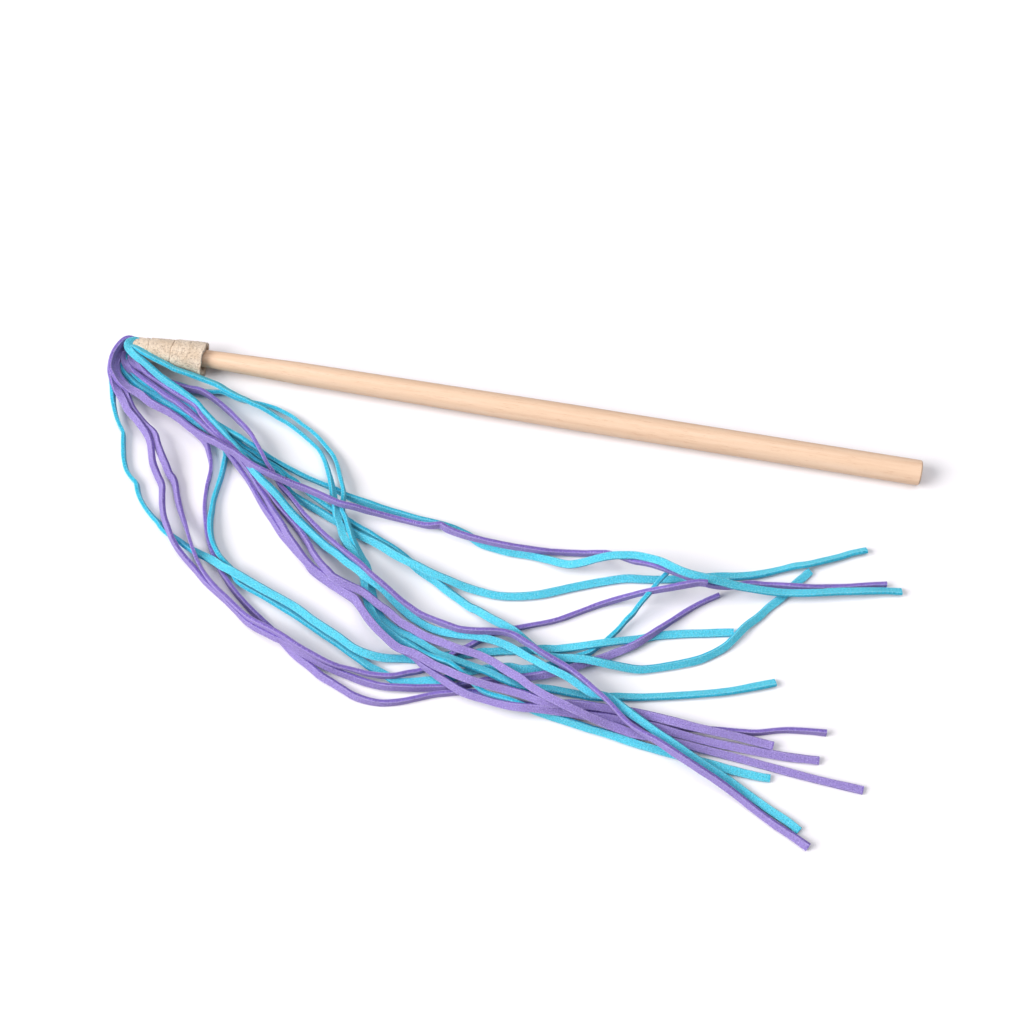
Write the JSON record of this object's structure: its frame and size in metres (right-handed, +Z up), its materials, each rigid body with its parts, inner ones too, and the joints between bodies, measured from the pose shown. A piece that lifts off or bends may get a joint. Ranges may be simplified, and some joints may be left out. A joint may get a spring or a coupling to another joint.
{
  "type": "cat teaser wand",
  "caption": "Tapered wooden stick with a felt strip wound round its tip that holds a loose tassel of long flat suede laces in two colours.",
  "frame": {"origin": "middle of the box of the stick and its wrap, on the floor that they lie on", "axes": "+X along the stick from the tip to the butt, +Z up from the floor, the tassel on the -Y side"},
  "size_m": [0.3107, 0.1552, 0.0128],
  "materials": {
    "wood": "sanded pale wood, unvarnished",
    "felt": "speckled tan felt",
    "glue": "lace ends set in glue",
    "purple_suede": "lavender suede",
    "cyan_suede": "turquoise suede",
    "pressed_suede": "suede laces pressed together"
  },
  "bodies": {
    "wand": {"stick": "wood", "felt_wrap": "felt", "glue_core": "glue", "lace_bends": "pressed_suede"},
    "tassel": {"lace_bundle": "pressed_suede", "purple_lace_1": "purple_suede", "purple_lace_2": "purple_suede", "purple_lace_3": "purple_suede", "purple_lace_4": "purple_suede", "purple_lace_5": "purple_suede", "purple_lace_6": "purple_suede", "purple_lace_7": "purple_suede", "purple_lace_8": "purple_suede", "cyan_lace_1": "cyan_suede", "cyan_lace_2": "cyan_suede", "cyan_lace_3": "cyan_suede", "cyan_lace_4": "cyan_suede", "cyan_lace_5": "cyan_suede", "cyan_lace_6": "cyan_suede", "cyan_lace_7": "cyan_suede", "cyan_lace_8": "cyan_suede"}
  },
  "joints": [
    {"name": "tassel_swing", "type": "hinge", "parent": "wand", "child": "tassel", "pos_m": [-0.15, 0, 0], "axis": [0, 0, 1], "range_deg": [-150, 0]}
  ]
}
